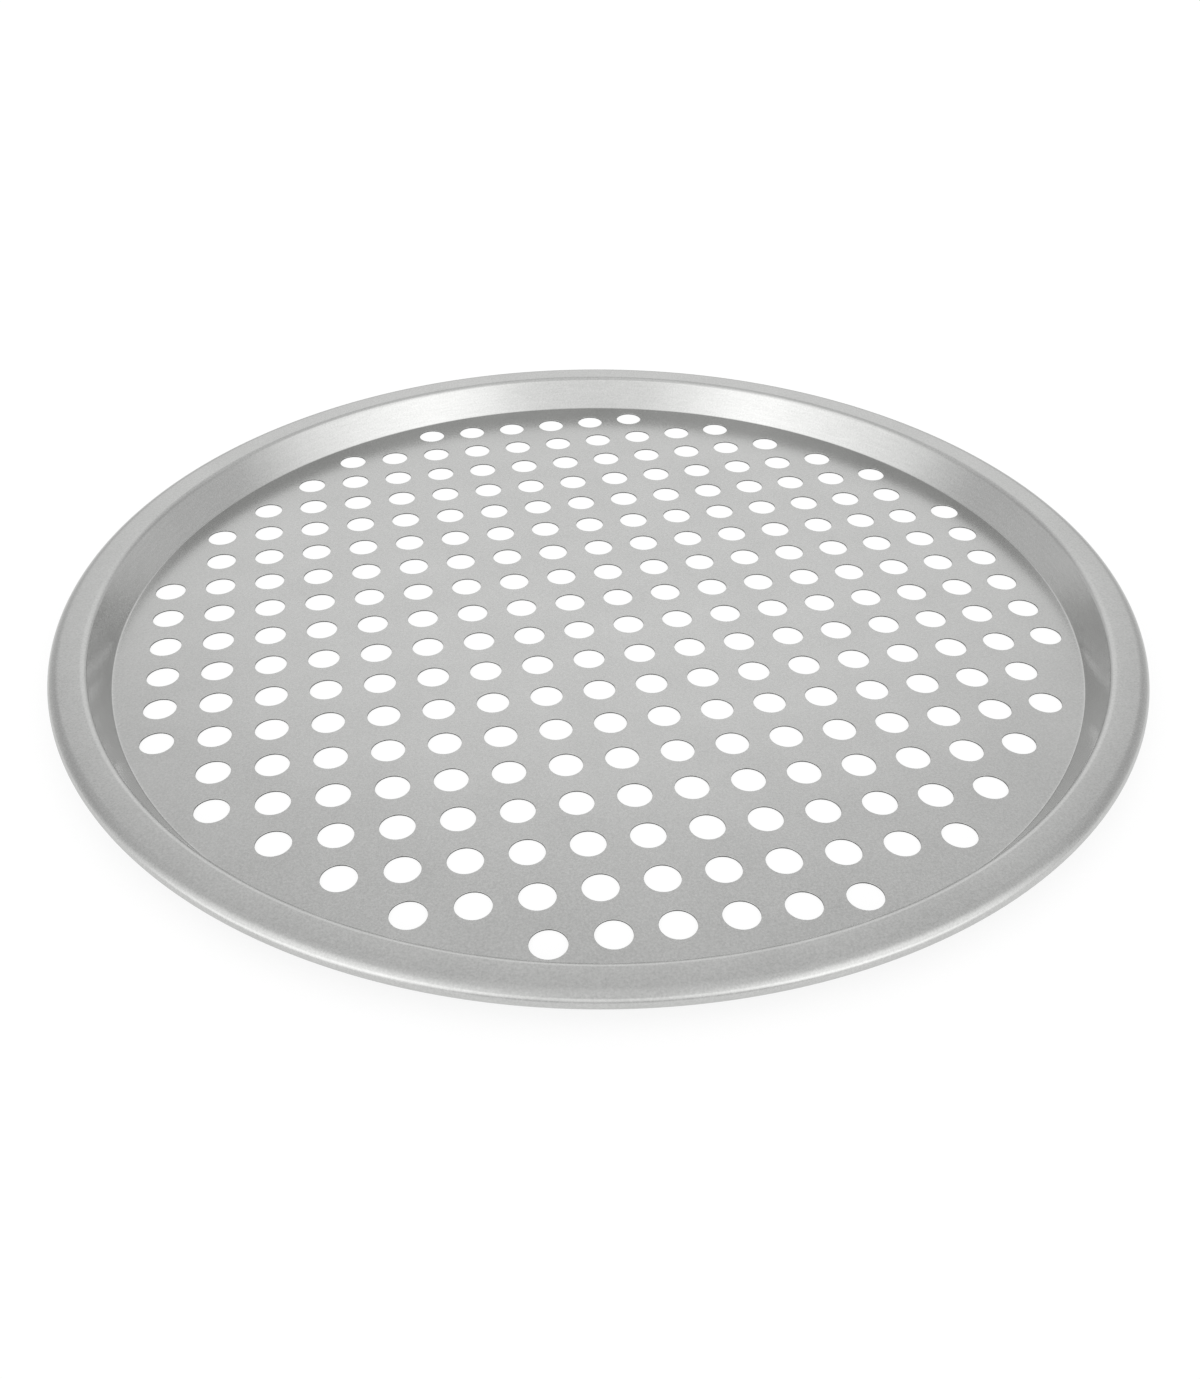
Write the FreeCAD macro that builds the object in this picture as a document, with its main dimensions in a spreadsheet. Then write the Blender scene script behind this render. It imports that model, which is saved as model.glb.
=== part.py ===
"""Perforated pizza pan: one drawn steel sheet, punched all over its floor, its edge rolled over a wire.

Millimetres. +Z is up, and the origin is the middle of the floor's underside, on which the pan stands.
The pan is two pieces, as it is made: the sheet, and the wire ring that its rolled rim closes on.
"""

import FreeCAD
import Part
import Sketcher
import math
import os

# Driving dimensions, in millimetres and degrees
SIZES = {
    "sheet_gauge": 0.4,  # thickness of the steel sheet
    "pan_height": 11.3,  # from the table to the top of the rim
    "floor_diameter": 297.5,  # the flat floor, inside the bend at its edge
    "floor_bend": 0.5,  # inside radius between floor and wall
    "wall_lean": 26.3,  # how far the wall leans outwards from upright
    "flange_bend": 1.8,  # radius between wall and flange, on the underside
    "flange_width": 5.75,  # the flat flange, between that bend and the shoulder
    "shoulder_bend": 4.0,  # radius where the flange turns down into the roll, on the underside
    "shoulder_turn": 35.0,  # how far the shoulder turns before the tighter roll begins
    "wire_diameter": 2.8,  # steel wire inside the rolled rim
    "wire_clearance": 0.35,  # gap left between the wire and the roll, all round
    "wire_gap": 1.5,  # gap between the butted ends of the wire ring
    "curl_wrap": 275.0,  # how far the sheet goes round the wire, after the shoulder
    "hole_diameter": 9.5,  # punched holes
    "hole_pitch": 15.8,  # spacing of the holes, both ways of their square grid
    "hole_border": 2.0,  # least plain floor kept between a hole and the bend
}
PARTS_FOLDER = "parts"
FULL_TURN = 360.0
UPWARDS = 90.0
HALF_TURN = 180.0
QUARTERS = 4
HALF_STEP_SHARE = 0.5  # the grid's first holes stand half a pitch from both middle lines
VOLUME_SHARE = 0.001  # how closely the punched-out volume must match the sum of the holes

# A sketch counts the start, end and centre of an edge from one, and has its own fixed origin
START, END, CENTRE = range(1, 4)
ORIGIN = (-1, 1)


def make_sizes(doc):
    """The spreadsheet of driving dimensions, one row each, with the name as the cell's alias."""
    sheet = doc.addObject("Spreadsheet::Sheet", "Sizes")
    for row, (name, value) in enumerate(SIZES.items(), start=1):
        sheet.set(f"A{row}", name)
        sheet.set(f"B{row}", str(value))
        sheet.setAlias(f"B{row}", name)
    doc.recompute()
    return sheet


def new_body(doc, node):
    """The body of one piece, labelled with its node name."""
    body = doc.addObject("PartDesign::Body", f"Body_{node}")
    body.Label = node
    return body


def origin_feature(body, role):
    """One of the body's own origin planes or axes."""
    return next(f for f in body.Origin.OriginFeatures if f.Role == role)


def new_sketch(body, name, plane_role):
    """An empty sketch on one of the body's origin planes."""
    sketch = body.newObject("Sketcher::SketchObject", name)
    sketch.AttachmentSupport = [(origin_feature(body, plane_role), "")]
    sketch.MapMode = "FlatFace"
    return sketch


def dimension(sketch, name, expression, kind, *where):
    """A named dimension of the sketch, bound to the spreadsheet."""
    index = sketch.addConstraint(Sketcher.Constraint(kind, *where))
    sketch.renameConstraint(index, name)
    sketch.setExpression(f"Constraints.{name}", expression)


def reading(sketch, name, kind, *where):
    """A named dimension that the sketch only reports, for another piece to take its place from."""
    index = sketch.addConstraint(Sketcher.Constraint(kind, *where))
    sketch.renameConstraint(index, name)
    sketch.setDriving(index, False)


def polar(centre, radius, degrees):
    """The point at that radius and angle round a centre, in the sketch's plane."""
    angle = math.radians(degrees)
    return centre + FreeCAD.Vector(radius * math.cos(angle), radius * math.sin(angle), 0)


def draw_pan_profile(sketch, sheet):
    """Half the sheet's section: from the axis along the floor, up the wall, round the wire, and back."""
    gauge, height, lean = sheet.sheet_gauge, sheet.pan_height, sheet.wall_lean
    inside_bend, under_bend, under_shoulder = sheet.floor_bend, sheet.flange_bend, sheet.shoulder_bend
    outside_bend, top_bend, top_shoulder = inside_bend + gauge, under_bend + gauge, under_shoulder + gauge
    bore = sheet.wire_diameter / 2 + sheet.wire_clearance
    bead = bore + gauge
    wall_out, wall_in = -lean, HALF_TURN - lean
    curl_start = UPWARDS - sheet.shoulder_turn
    curl_end = curl_start - sheet.curl_wrap
    wall_run = (height - gauge) * math.tan(math.radians(lean))
    bend_run = (inside_bend + top_bend) * math.tan(math.radians(UPWARDS - lean) / 2)

    # Centres of the three bends and of the wire
    floor_mid = FreeCAD.Vector(sheet.floor_diameter / 2, gauge + inside_bend, 0)
    flange_mid = FreeCAD.Vector(floor_mid.x + wall_run + bend_run, height - top_bend, 0)
    shoulder_mid = FreeCAD.Vector(flange_mid.x + sheet.flange_width, height - top_shoulder, 0)
    wire_mid = polar(shoulder_mid, top_shoulder - bead, curl_start)
    centre_low, centre_top = FreeCAD.Vector(0, 0, 0), FreeCAD.Vector(0, gauge, 0)

    def line(start, end):
        return sketch.addGeometry(Part.LineSegment(start, end), False)

    def arc(middle, radius, start, end):
        circle = Part.Circle(middle, FreeCAD.Vector(0, 0, 1), radius)
        return sketch.addGeometry(Part.ArcOfCircle(circle, math.radians(start), math.radians(end)), False)

    floor_under = line(centre_low, polar(floor_mid, outside_bend, -UPWARDS))
    floor_bend_under = arc(floor_mid, outside_bend, -UPWARDS, wall_out)
    wall_under = line(polar(floor_mid, outside_bend, wall_out), polar(flange_mid, under_bend, wall_in))
    flange_bend_under = arc(flange_mid, under_bend, UPWARDS, wall_in)
    flange_under = line(polar(flange_mid, under_bend, UPWARDS), polar(shoulder_mid, under_shoulder, UPWARDS))
    shoulder_inside = arc(shoulder_mid, under_shoulder, curl_start, UPWARDS)
    curl_inside = arc(wire_mid, bore, curl_end, curl_start)
    raw_edge = line(polar(wire_mid, bore, curl_end), polar(wire_mid, bead, curl_end))
    curl_outside = arc(wire_mid, bead, curl_end, curl_start)
    shoulder_outside = arc(shoulder_mid, top_shoulder, curl_start, UPWARDS)
    flange_top = line(polar(shoulder_mid, top_shoulder, UPWARDS), polar(flange_mid, top_bend, UPWARDS))
    flange_bend_top = arc(flange_mid, top_bend, UPWARDS, wall_in)
    wall_inside = line(polar(flange_mid, top_bend, wall_in), polar(floor_mid, inside_bend, wall_out))
    floor_bend_inside = arc(floor_mid, inside_bend, -UPWARDS, wall_out)
    floor_top = line(polar(floor_mid, inside_bend, -UPWARDS), centre_top)
    middle = line(centre_top, centre_low)

    smooth_joins = [
        (floor_under, END, floor_bend_under, START),
        (floor_bend_under, END, wall_under, START),
        (wall_under, END, flange_bend_under, END),
        (flange_bend_under, START, flange_under, START),
        (flange_under, END, shoulder_inside, END),
        (shoulder_inside, START, curl_inside, END),
        (curl_outside, END, shoulder_outside, START),
        (shoulder_outside, END, flange_top, START),
        (flange_top, END, flange_bend_top, START),
        (flange_bend_top, END, wall_inside, START),
        (wall_inside, END, floor_bend_inside, END),
        (floor_bend_inside, START, floor_top, START),
    ]
    shared_points = [
        (curl_inside, START, raw_edge, START),
        (raw_edge, END, curl_outside, START),
        (floor_top, END, middle, START),
        (middle, END, floor_under, START),
        (floor_under, START, *ORIGIN),
        (floor_bend_under, CENTRE, floor_bend_inside, CENTRE),
        (flange_bend_under, CENTRE, flange_bend_top, CENTRE),
        (shoulder_inside, CENTRE, shoulder_outside, CENTRE),
        (curl_inside, CENTRE, curl_outside, CENTRE),
    ]
    level_edges = (floor_under, floor_top, flange_top)
    sketch.addConstraint([Sketcher.Constraint("Tangent", *join) for join in smooth_joins])
    sketch.addConstraint([Sketcher.Constraint("Coincident", *join) for join in shared_points])
    sketch.addConstraint([Sketcher.Constraint("Horizontal", edge) for edge in level_edges])
    sketch.addConstraint(Sketcher.Constraint("Vertical", middle))
    sketch.addConstraint(Sketcher.Constraint("PointOnObject", curl_inside, CENTRE, raw_edge))

    dimension(sketch, "gauge", "Sizes.sheet_gauge", "DistanceY", *ORIGIN, middle, START, gauge)
    dimension(sketch, "height", "Sizes.pan_height", "DistanceY", *ORIGIN, flange_top, START, height)
    dimension(sketch, "floor_radius", "Sizes.floor_diameter / 2",
              "DistanceX", *ORIGIN, floor_bend_inside, CENTRE, floor_mid.x)
    dimension(sketch, "floor_bend", "Sizes.floor_bend", "Radius", floor_bend_inside, inside_bend)
    dimension(sketch, "wall_slope", f"{UPWARDS} - Sizes.wall_lean",
              "Angle", wall_under, math.radians(UPWARDS - lean))
    dimension(sketch, "flange_bend", "Sizes.flange_bend", "Radius", flange_bend_under, under_bend)
    dimension(sketch, "flange_bend_top", "Sizes.flange_bend + Sizes.sheet_gauge",
              "Radius", flange_bend_top, top_bend)
    dimension(sketch, "flange_width", "Sizes.flange_width",
              "DistanceX", flange_bend_top, CENTRE, shoulder_outside, CENTRE, sheet.flange_width)
    dimension(sketch, "shoulder_bend", "Sizes.shoulder_bend + Sizes.sheet_gauge",
              "Radius", shoulder_outside, top_shoulder)
    dimension(sketch, "shoulder_turn", "Sizes.shoulder_turn",
              "Angle", shoulder_outside, math.radians(sheet.shoulder_turn))
    dimension(sketch, "curl_bore", "Sizes.wire_diameter / 2 + Sizes.wire_clearance",
              "Radius", curl_inside, bore)
    dimension(sketch, "curl_gauge", "Sizes.sheet_gauge", "Distance", raw_edge, gauge)
    dimension(sketch, "curl_wrap", "Sizes.curl_wrap",
              "Angle", curl_inside, math.radians(sheet.curl_wrap))
    reading(sketch, "ring_radius", "DistanceX", *ORIGIN, curl_inside, CENTRE, wire_mid.x)
    reading(sketch, "ring_level", "DistanceY", *ORIGIN, curl_inside, CENTRE, wire_mid.y)


def draw_quarter_holes(sketch, sheet):
    """The holes of one quarter of the floor, on a square grid, as far out as the plain border allows."""
    pitch, radius = sheet.hole_pitch, sheet.hole_diameter / 2
    reach = sheet.floor_diameter / 2 - sheet.hole_border - radius
    steps = [step + HALF_STEP_SHARE for step in range(math.ceil(reach / pitch))]
    places = [(across, along) for across in steps for along in steps
              if math.hypot(across, along) * pitch <= reach]
    circles = []
    for across, along in places:
        spot = FreeCAD.Vector(across * pitch, along * pitch, 0)
        circles.append(sketch.addGeometry(Part.Circle(spot, FreeCAD.Vector(0, 0, 1), radius), False))
    first = circles[0]
    sketch.addConstraint([Sketcher.Constraint("Equal", first, other) for other in circles[1:]])
    dimension(sketch, "hole", "Sizes.hole_diameter", "Diameter", first, sheet.hole_diameter)
    for number, (circle, (across, along)) in enumerate(zip(circles, places)):
        dimension(sketch, f"across_{number}", f"{across} * Sizes.hole_pitch",
                  "DistanceX", *ORIGIN, circle, CENTRE, across * pitch)
        dimension(sketch, f"along_{number}", f"{along} * Sizes.hole_pitch",
                  "DistanceY", *ORIGIN, circle, CENTRE, along * pitch)
    return len(places)


def make_pan(doc, sheet):
    """The sheet: its section spun, then a quarter of the floor's holes punched and repeated all round."""
    body = new_body(doc, "pan")
    profile = new_sketch(body, "PanProfile", "XZ_Plane")
    draw_pan_profile(profile, sheet)
    drawn = body.newObject("PartDesign::Revolution", "DrawnSheet")
    drawn.Profile = profile
    drawn.ReferenceAxis = (origin_feature(body, "Z_Axis"), [""])
    drawn.Angle = FULL_TURN
    doc.recompute()

    holes = new_sketch(body, "QuarterHoles", "XY_Plane")
    count = draw_quarter_holes(holes, sheet)
    punched = body.newObject("PartDesign::Pocket", "PunchedQuarter")
    punched.Profile = holes
    punched.Type = "ThroughAll"
    punched.Reversed = True
    doc.recompute()
    quarters = body.newObject("PartDesign::PolarPattern", "PunchedFloor")
    quarters.Originals = [punched]
    quarters.Axis = (origin_feature(body, "Z_Axis"), [""])
    quarters.Angle = FULL_TURN
    quarters.Occurrences = QUARTERS
    body.Tip = quarters
    doc.recompute()

    expected = QUARTERS * count * math.pi * (sheet.hole_diameter / 2) ** 2 * sheet.sheet_gauge
    removed = drawn.Shape.Volume - body.Shape.Volume
    if abs(removed - expected) > VOLUME_SHARE * expected:
        raise RuntimeError(f"holes took {removed:.1f} mm3 out of the sheet, not {expected:.1f}")
    return body


def make_rim_wire(doc, sheet):
    """The wire ring in the rolled rim: round wire bent to a circle, its ends butted with a small gap."""
    body = new_body(doc, "rim_wire")
    section = new_sketch(body, "WireSection", "XZ_Plane")
    pan_profile = doc.getObject("PanProfile")
    radius, level = pan_profile.getDatum("ring_radius").Value, pan_profile.getDatum("ring_level").Value
    spot = FreeCAD.Vector(radius, level, 0)
    wire = section.addGeometry(Part.Circle(spot, FreeCAD.Vector(0, 0, 1), sheet.wire_diameter / 2), False)
    dimension(section, "wire", "Sizes.wire_diameter", "Diameter", wire, sheet.wire_diameter)
    dimension(section, "ring_radius", "PanProfile.Constraints.ring_radius",
              "DistanceX", *ORIGIN, wire, CENTRE, radius)
    dimension(section, "ring_level", "PanProfile.Constraints.ring_level",
              "DistanceY", *ORIGIN, wire, CENTRE, level)
    ring = body.newObject("PartDesign::Revolution", "BentRing")
    ring.Profile = section
    ring.ReferenceAxis = (origin_feature(body, "Z_Axis"), [""])
    gap_angle = f"Sizes.wire_gap * 1 mm / PanProfile.Constraints.ring_radius * {HALF_TURN} / pi"
    ring.setExpression("Angle", f"{FULL_TURN} - {gap_angle}")
    doc.recompute()
    return body


def check(doc, bodies):
    """Stops the build if anything failed to compute, a sketch is loose, or a piece isn't one sound solid."""
    for item in doc.Objects:
        if {"Invalid", "Error"} & set(item.State):
            raise RuntimeError(f"{item.Name} did not compute: {item.State}")
        if item.TypeId == "Sketcher::SketchObject" and not item.FullyConstrained:
            raise RuntimeError(f"{item.Name} is not fully constrained")
    for body in bodies:
        if body.Shape.isNull() or not body.Shape.isValid() or len(body.Shape.Solids) != 1:
            raise RuntimeError(f"{body.Label} is not one valid solid")


def main():
    doc = FreeCAD.newDocument("PizzaPan")
    sheet = make_sizes(doc)
    bodies = [make_pan(doc, sheet), make_rim_wire(doc, sheet)]
    doc.recompute()
    check(doc, bodies)
    os.makedirs(PARTS_FOLDER, exist_ok=True)
    for body in bodies:
        body.Shape.exportStep(os.path.join(PARTS_FOLDER, f"{body.Label}.step"))
        box = body.Shape.optimalBoundingBox(False, False)
        print(f"{body.Label}: {box.XLength:.2f} x {box.YLength:.2f} x {box.ZLength:.2f} mm, "
              f"{body.Shape.Volume:.0f} mm3, {len(body.Shape.Faces)} faces")


main()
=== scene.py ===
import bmesh
import bpy
import math
from mathutils import Matrix, Vector
from mathutils.geometry import delaunay_2d_cdt


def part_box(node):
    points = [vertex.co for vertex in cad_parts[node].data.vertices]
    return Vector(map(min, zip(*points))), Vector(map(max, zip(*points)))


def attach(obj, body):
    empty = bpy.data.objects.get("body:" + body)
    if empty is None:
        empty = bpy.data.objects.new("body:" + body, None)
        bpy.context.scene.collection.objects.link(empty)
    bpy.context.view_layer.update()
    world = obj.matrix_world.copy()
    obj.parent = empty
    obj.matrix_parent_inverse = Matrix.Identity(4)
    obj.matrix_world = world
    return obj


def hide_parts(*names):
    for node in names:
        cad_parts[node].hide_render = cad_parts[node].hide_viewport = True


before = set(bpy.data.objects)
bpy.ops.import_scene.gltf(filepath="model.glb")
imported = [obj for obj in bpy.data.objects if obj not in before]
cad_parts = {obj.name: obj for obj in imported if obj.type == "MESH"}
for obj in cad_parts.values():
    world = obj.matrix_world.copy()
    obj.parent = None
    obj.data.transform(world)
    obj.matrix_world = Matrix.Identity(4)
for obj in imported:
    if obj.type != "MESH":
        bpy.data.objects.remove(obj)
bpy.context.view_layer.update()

# Pan sheet: one disc of thin silver-grey steel, drawn into a flat floor, a sloping wall and a flange.
# The floor is punched with round holes on a square grid, and the edge is rolled down round a wire.
# Everything is in metres, and the rim's place is taken from the frame's pan and wire.
sheet_gauge = 0.0004
floor_radius = 0.14875
floor_bend = 0.0005
flange_bend = 0.0018
shoulder_bend = 0.0040
shoulder_turn = math.radians(35.0)
wall_lean = math.radians(26.3)
curl_wrap = math.radians(275.0)
wire_clearance = 0.00035
hole_radius = 0.00475
hole_pitch = 0.0158
hole_border = 0.0020
punch_roundover = 0.00008
flat_margin = 0.0006
round_steps = 360
hole_steps = 40
bend_steps = 10
curl_steps = 30

pan_low, pan_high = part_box("pan")
wire_low, wire_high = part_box("rim_wire")
rim_top = pan_high.z
bead_radius = (wire_high.z - wire_low.z) / 2 + wire_clearance + sheet_gauge
upwards = math.radians(90.0)


def arc(centre, radius, start, end, steps):
    """Points along an arc of the sheet's section, each a distance from the axis and a height."""
    turns = [start + (end - start) * step / steps for step in range(steps + 1)]
    return [(centre[0] + radius * math.cos(turn), centre[1] + radius * math.sin(turn)) for turn in turns]


floor_mid = (floor_radius, sheet_gauge + floor_bend)
top_bend = flange_bend + sheet_gauge
top_shoulder = shoulder_bend + sheet_gauge
wall_run = (rim_top - sheet_gauge) * math.tan(wall_lean)
bend_run = (floor_bend + top_bend) * math.tan((upwards - wall_lean) / 2)
flange_mid = (floor_radius + wall_run + bend_run, rim_top - top_bend)
curl_start = upwards - shoulder_turn
curl_end = curl_start - curl_wrap
roll_depth = top_shoulder - bead_radius
wire_mid = (pan_high.x - bead_radius, rim_top - top_shoulder + roll_depth * math.sin(curl_start))
shoulder_mid = (wire_mid[0] - roll_depth * math.cos(curl_start), rim_top - top_shoulder)
wall_out = -wall_lean
wall_in = math.pi - wall_lean
top_side = (
    [(floor_radius - flat_margin, sheet_gauge)]
    + arc(floor_mid, floor_bend, -upwards, wall_out, bend_steps)
    + arc(flange_mid, top_bend, wall_in, upwards, bend_steps)
    + arc(shoulder_mid, top_shoulder, upwards, curl_start, bend_steps)
    + arc(wire_mid, bead_radius, curl_start, curl_end, curl_steps)[1:]
)
under_side = (
    arc(wire_mid, bead_radius - sheet_gauge, curl_end, curl_start, curl_steps)[:-1]
    + arc(shoulder_mid, shoulder_bend, curl_start, upwards, bend_steps)
    + arc(flange_mid, flange_bend, upwards, wall_in, bend_steps)
    + arc(floor_mid, floor_bend + sheet_gauge, wall_out, -upwards, bend_steps)
    + [(floor_radius - flat_margin, 0.0)]
)

sheet = bmesh.new()


def ring(middle, radius, height, steps):
    """A closed round of vertices about a point of the floor."""
    turns = [2 * math.pi * step / steps for step in range(steps)]
    return [
        sheet.verts.new((middle[0] + radius * math.cos(turn), middle[1] + radius * math.sin(turn), height))
        for turn in turns
    ]


def join_rings(one, two, material):
    """A band of faces between two rounds of as many vertices."""
    count = len(one)
    for step in range(count):
        after = (step + 1) % count
        face = sheet.faces.new((one[step], one[after], two[after], two[step]))
        face.material_index = material
        face.smooth = True


plain_metal, cut_edge = 0, 1
axis = (0.0, 0.0)
rounds = [ring(axis, radius, height, round_steps) for radius, height in top_side + under_side]
for inner, outer in zip(rounds, rounds[1:]):
    join_rings(inner, outer, plain_metal)

grid_reach = floor_radius - hole_border - hole_radius
half_rows = math.ceil(grid_reach / hole_pitch)
steps_out = [(number + 0.5) * hole_pitch for number in range(-half_rows, half_rows)]
hole_spots = [(x, y) for x in steps_out for y in steps_out if math.hypot(x, y) <= grid_reach]
half_eased = punch_roundover * (1 - math.cos(upwards / 2))
top_loops = [rounds[0]]
under_loops = [rounds[-1]]
for spot in hole_spots:
    lip = ring(spot, hole_radius + punch_roundover, sheet_gauge, hole_steps)
    eased = ring(spot, hole_radius + half_eased, sheet_gauge - half_eased, hole_steps)
    cut_top = ring(spot, hole_radius, sheet_gauge - punch_roundover, hole_steps)
    cut_foot = ring(spot, hole_radius, 0.0, hole_steps)
    join_rings(eased, lip, plain_metal)
    join_rings(cut_top, eased, plain_metal)
    join_rings(cut_foot, cut_top, cut_edge)
    top_loops.append(lip)
    under_loops.append(cut_foot)


def fill_floor(loops, facing_up):
    """The flat face inside the first loop and outside all the others."""
    corners = []
    outlines = []
    for loop in loops:
        outlines.append(range(len(corners), len(corners) + len(loop)))
        corners += loop
    flat = [Vector((vertex.co.x, vertex.co.y)) for vertex in corners]
    inside_with_holes = 2
    weld_distance = 1e-7
    spots, _, faces, *_ = delaunay_2d_cdt(flat, [], outlines, inside_with_holes, weld_distance)
    assert len(spots) == len(corners)
    for face in faces:
        around = [corners[index] for index in (face if facing_up else reversed(face))]
        sheet.faces.new(around).smooth = True


fill_floor(top_loops, True)
fill_floor(under_loops, False)
for loop in top_loops[1:] + under_loops[1:]:
    for one, two in zip(loop, loop[1:] + loop[:1]):
        sheet.edges.get((one, two)).smooth = False
bmesh.ops.recalc_face_normals(sheet, faces=sheet.faces)

pan_mesh = bpy.data.meshes.new("pan_sheet")
sheet.to_mesh(pan_mesh)
sheet.free()
pan_sheet = bpy.data.objects.new("pan_sheet", pan_mesh)
bpy.context.collection.objects.link(pan_sheet)


def add_node(material, kind, **settings):
    """A node of the material's tree, with its plain settings."""
    node = material.node_tree.nodes.new(kind)
    for name, value in settings.items():
        setattr(node, name, value)
    return node


def new_metal(name):
    """A bare metal material, and its surface node."""
    material = bpy.data.materials.new(name)
    material.use_nodes = True
    surface = material.node_tree.nodes["Principled BSDF"]
    surface.inputs["Metallic"].default_value = 1.0
    return material, surface


def add_noise(material, place, scale, detail):
    """Noise laid through a piece, its scale in grains to the metre."""
    noise = add_node(material, "ShaderNodeTexNoise")
    noise.inputs["Scale"].default_value = scale
    noise.inputs["Detail"].default_value = detail
    material.node_tree.links.new(place, noise.inputs["Vector"])
    return noise.outputs["Fac"]


def add_ramp(material, value, low, low_colour, high, high_colour):
    """A colour that runs from one to the other while the value goes from low to high."""
    ramp = add_node(material, "ShaderNodeValToRGB")
    ramp.color_ramp.elements[0].position = low
    ramp.color_ramp.elements[0].color = low_colour
    ramp.color_ramp.elements[1].position = high
    ramp.color_ramp.elements[1].color = high_colour
    material.node_tree.links.new(value, ramp.inputs["Fac"])
    return ramp.outputs["Color"]


def add_range(material, value, low, high, to_low, to_high):
    """A number that runs from to_low to to_high while the value goes from low to high."""
    spread = add_node(material, "ShaderNodeMapRange")
    spread.inputs["From Min"].default_value = low
    spread.inputs["From Max"].default_value = high
    spread.inputs["To Min"].default_value = to_low
    spread.inputs["To Max"].default_value = to_high
    material.node_tree.links.new(value, spread.inputs["Value"])
    return spread.outputs["Result"]


def grey(level):
    """A plain grey of one level."""
    return (level, level, level, 1.0)


# Bare steel: cloudy and finely grained all over, with faint lines of forming that run round the wall.
bare_steel, surface = new_metal("bare_drawn_steel")
links = bare_steel.node_tree.links
spot_on_sheet = add_node(bare_steel, "ShaderNodeTexCoord")
place = spot_on_sheet.outputs["Object"]
cloud = add_noise(bare_steel, place, scale=45.0, detail=4.0)
grain = add_noise(bare_steel, place, scale=1800.0, detail=2.0)
mottle = add_node(bare_steel, "ShaderNodeMix")
mottle.inputs["Factor"].default_value = 0.75
links.new(cloud, mottle.inputs["A"])
links.new(grain, mottle.inputs["B"])
round_the_wall = add_node(bare_steel, "ShaderNodeMapping")
round_the_wall.inputs["Scale"].default_value = (1.0, 1.0, 12.0)
links.new(place, round_the_wall.inputs["Vector"])
forming_lines = add_noise(bare_steel, round_the_wall.outputs["Vector"], scale=130.0, detail=3.0)
facing = add_node(bare_steel, "ShaderNodeSeparateXYZ")
links.new(spot_on_sheet.outputs["Normal"], facing.inputs["Vector"])
levelness = add_node(bare_steel, "ShaderNodeMath", operation="ABSOLUTE")
links.new(facing.outputs["Z"], levelness.inputs[0])
formed_share = add_range(
    bare_steel, levelness.outputs["Value"], low=0.6, high=0.95, to_low=0.25, to_high=0.0
)
worked = add_node(bare_steel, "ShaderNodeMix")
links.new(formed_share, worked.inputs["Factor"])
links.new(mottle.outputs["Result"], worked.inputs["A"])
links.new(forming_lines, worked.inputs["B"])
dull_patch = (0.482, 0.484, 0.477, 1.0)
bright_patch = (0.602, 0.604, 0.596, 1.0)
tint = add_ramp(
    bare_steel, worked.outputs["Result"], low=0.3, low_colour=dull_patch, high=0.7, high_colour=bright_patch
)
links.new(tint, surface.inputs["Base Color"])
dullness = add_range(bare_steel, grain, low=0.25, high=0.75, to_low=0.19, to_high=0.26)
links.new(dullness, surface.inputs["Roughness"])
relief = add_node(bare_steel, "ShaderNodeBump")
relief.inputs["Strength"].default_value = 0.15
relief.inputs["Distance"].default_value = 0.00002
links.new(grain, relief.inputs["Height"])
links.new(relief.outputs["Normal"], surface.inputs["Normal"])
surface.inputs["Specular Tint"].default_value = grey(0.86)

# Sheared steel: the duller wall that the punch leaves in each hole, painted darker to stand for the shade
# inside the hole.
sheared_steel_painted_shade, surface = new_metal("sheared_steel_painted_shade")
links = sheared_steel_painted_shade.node_tree.links
place = add_node(sheared_steel_painted_shade, "ShaderNodeTexCoord").outputs["Object"]
along_cut = add_node(sheared_steel_painted_shade, "ShaderNodeMapping")
along_cut.inputs["Scale"].default_value = (1.0, 1.0, 0.1)
links.new(place, along_cut.inputs["Vector"])
shear_marks = add_noise(sheared_steel_painted_shade, along_cut.outputs["Vector"], scale=5000.0, detail=2.0)
# The cut's near-black colours are painted shade from inside the hole, laid over the steel's own duller
# finish.
cut_painted_shade_dark = (0.07, 0.07, 0.069, 1.0)
cut_painted_shade_light = (0.13, 0.13, 0.128, 1.0)
tint = add_ramp(sheared_steel_painted_shade, shear_marks, low=0.3, low_colour=cut_painted_shade_dark, high=0.7, high_colour=cut_painted_shade_light)
links.new(tint, surface.inputs["Base Color"])
dullness = add_range(sheared_steel_painted_shade, shear_marks, low=0.25, high=0.75, to_low=0.45, to_high=0.65)
links.new(dullness, surface.inputs["Roughness"])

pan_mesh.materials.append(bare_steel)
pan_mesh.materials.append(sheared_steel_painted_shade)
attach(pan_sheet, "root")
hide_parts("pan")

# Rim wire: a ring of plain drawn steel wire with butted ends, shut inside the rolled edge of the sheet.
# The frame's own solid has its true shape, so it stays and only gets the look of the wire.
drawn_wire, surface = new_metal("drawn_wire")
links = drawn_wire.node_tree.links
place = add_node(drawn_wire, "ShaderNodeTexCoord").outputs["Object"]
die_marks = add_noise(drawn_wire, place, scale=3000.0, detail=3.0)
dark_wire = (0.26, 0.26, 0.25, 1.0)
light_wire = (0.34, 0.34, 0.33, 1.0)
tint = add_ramp(drawn_wire, die_marks, low=0.3, low_colour=dark_wire, high=0.7, high_colour=light_wire)
links.new(tint, surface.inputs["Base Color"])
dullness = add_range(drawn_wire, die_marks, low=0.25, high=0.75, to_low=0.4, to_high=0.55)
links.new(dullness, surface.inputs["Roughness"])
rim_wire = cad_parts["rim_wire"]
for slot in rim_wire.material_slots:
    slot.material = drawn_wire

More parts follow.
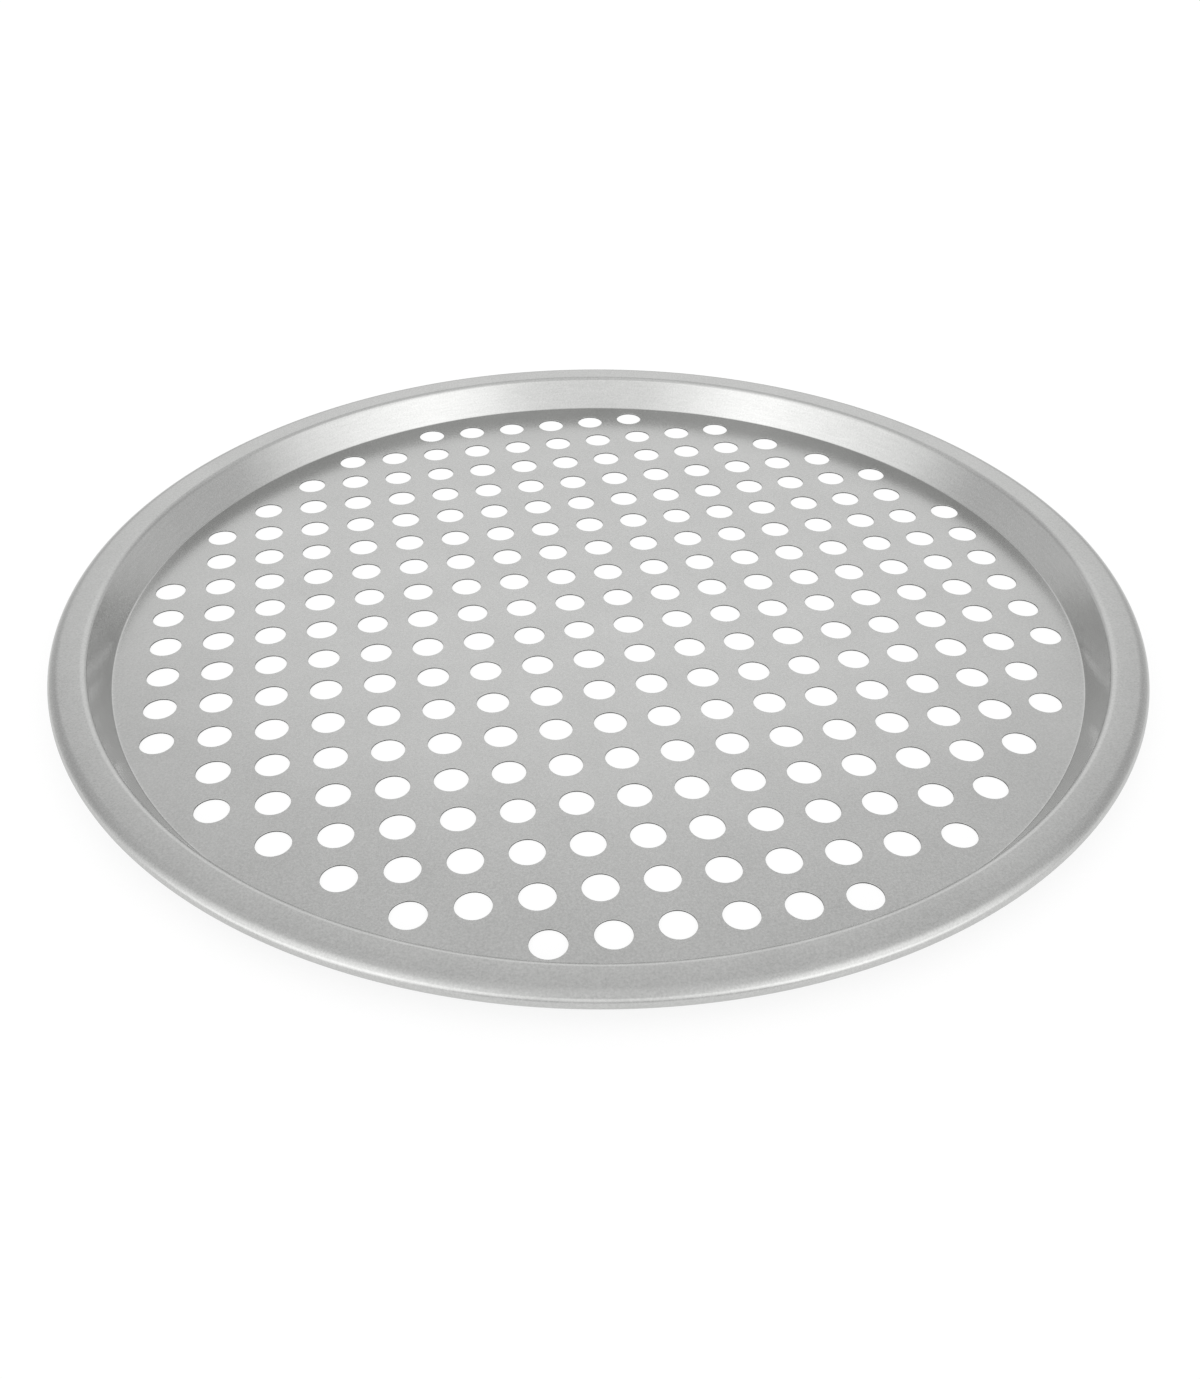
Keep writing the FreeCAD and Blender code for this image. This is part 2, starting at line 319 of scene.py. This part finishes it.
# Studio: a wide pale table in a pale room, with soft panels at the left, right, back and front.
# The table looks white to the camera and in the metal, and keeps a faint shadow of the pan.
# The camera stands where the photograph's hole grid and rim put it.
table_gap = 0.0002
table_radius = 3.0
table_sides = 96
table_mesh = bpy.data.meshes.new("table")
table_shape = bmesh.new()
bmesh.ops.create_circle(table_shape, cap_ends=True, segments=table_sides, radius=table_radius)
table_shape.to_mesh(table_mesh)
table_shape.free()
table = bpy.data.objects.new("table", table_mesh)
table.location.z = pan_low.z - table_gap
bpy.context.collection.objects.link(table)

pale = bpy.data.materials.new("pale_table")
pale.use_nodes = True
pale.node_tree.nodes.clear()
links = pale.node_tree.links
paper = add_node(pale, "ShaderNodeBsdfDiffuse")
paper.inputs["Color"].default_value = grey(0.78)
glow = add_node(pale, "ShaderNodeEmission")
glow.inputs["Color"].default_value = grey(1.0)
glow.inputs["Strength"].default_value = 0.82
shaded = add_node(pale, "ShaderNodeBsdfDiffuse")
shaded.inputs["Color"].default_value = grey(0.2)
white = add_node(pale, "ShaderNodeAddShader")
links.new(glow.outputs["Emission"], white.inputs[0])
links.new(shaded.outputs["BSDF"], white.inputs[1])
ray = add_node(pale, "ShaderNodeLightPath")
shown = ray.outputs["Is Camera Ray"]
for kind in ("Is Glossy Ray", "Is Transmission Ray"):
    either = add_node(pale, "ShaderNodeMath", operation="ADD")
    links.new(shown, either.inputs[0])
    links.new(ray.outputs[kind], either.inputs[1])
    shown = either.outputs["Value"]
chosen = add_node(pale, "ShaderNodeMixShader")
links.new(shown, chosen.inputs["Fac"])
links.new(paper.outputs["BSDF"], chosen.inputs[1])
links.new(white.outputs["Shader"], chosen.inputs[2])
table_top = add_node(pale, "ShaderNodeOutputMaterial")
links.new(chosen.outputs["Shader"], table_top.inputs["Surface"])
table_mesh.materials.append(pale)

camera_place = Vector((-0.07123, -0.34637, 0.23891))
camera_aim = Vector((-0.00762, -0.03905, 0.0))
camera_roll = math.radians(0.241)
camera_data = bpy.data.cameras.new("camera")
camera_data.sensor_fit = "VERTICAL"
camera_data.sensor_height = 36.0
camera_data.lens = 34.854
camera = bpy.data.objects.new("camera", camera_data)
camera_turn = (camera_aim - camera_place).to_track_quat("-Z", "Y").to_matrix().to_4x4()
camera.matrix_world = Matrix.Translation(camera_place) @ camera_turn @ Matrix.Rotation(camera_roll, 4, "Z")
bpy.context.collection.objects.link(camera)
bpy.context.scene.camera = camera

horizon_light = 0.84
dimmest_light = 0.555
ceiling_light = 0.89
room = bpy.data.worlds.new("room")
room.use_nodes = True
bpy.context.scene.world = room
room_nodes = room.node_tree.nodes
room_links = room.node_tree.links
direction = room_nodes.new("ShaderNodeTexCoord")
heading = room_nodes.new("ShaderNodeSeparateXYZ")
room_links.new(direction.outputs["Generated"], heading.inputs["Vector"])
walls = room_nodes.new("ShaderNodeValToRGB")
room_links.new(heading.outputs["Z"], walls.inputs["Fac"])
walls.color_ramp.elements[0].position = 0.0
walls.color_ramp.elements[0].color = grey(horizon_light)
walls.color_ramp.elements[1].position = 1.0
walls.color_ramp.elements[1].color = grey(ceiling_light)
half_way_up = walls.color_ramp.elements.new(0.5)
half_way_up.color = grey(dimmest_light)
room_light = walls.outputs["Color"]

# Each soft panel has a swing from the camera's side and a height, in degrees, then the reach of its oval
# across and upwards, in parts of its distance, and the light that it adds to the room's.
soft_panels = (
    ("left_panel", -58.0, 25.0, 0.66, 0.92, 0.72),
    ("right_panel", 60.0, 34.0, 0.62, 0.69, 0.75),
    ("back_panel", 180.0, 29.0, 0.63, 0.33, 0.46),
    ("front_panel", 0.0, 34.0, 1.44, 0.36, 0.57),
)
full_light_share = 0.5
camera_side = math.atan2(camera_place.y, camera_place.x)
for name, swing, height, width, depth, level in soft_panels:
    side = camera_side + math.radians(swing)
    rise = math.radians(height)
    out = Vector((math.cos(side) * math.cos(rise), math.sin(side) * math.cos(rise), math.sin(rise)))
    across = Vector((-math.sin(side), math.cos(side), 0.0))
    upright = out.cross(across)
    patch = room_nodes.new("ShaderNodeMapping")
    patch.name = name
    patch.vector_type = "TEXTURE"
    patch.inputs["Location"].default_value = out
    patch.inputs["Rotation"].default_value = Matrix((across, upright, out)).transposed().to_euler()
    patch.inputs["Scale"].default_value = (width, depth, 1.0)
    room_links.new(direction.outputs["Generated"], patch.inputs["Vector"])
    oval = room_nodes.new("ShaderNodeTexGradient")
    oval.gradient_type = "SPHERICAL"
    room_links.new(patch.outputs["Vector"], oval.inputs["Vector"])
    soft_edge = room_nodes.new("ShaderNodeMapRange")
    soft_edge.inputs["From Max"].default_value = full_light_share
    soft_edge.inputs["To Max"].default_value = level
    room_links.new(oval.outputs["Fac"], soft_edge.inputs["Value"])
    lit = room_nodes.new("ShaderNodeMath")
    lit.operation = "ADD"
    room_links.new(room_light, lit.inputs[0])
    room_links.new(soft_edge.outputs["Result"], lit.inputs[1])
    room_light = lit.outputs["Value"]
room_links.new(room_light, room_nodes["Background"].inputs["Color"])

bpy.context.scene.view_settings.view_transform = "Standard"
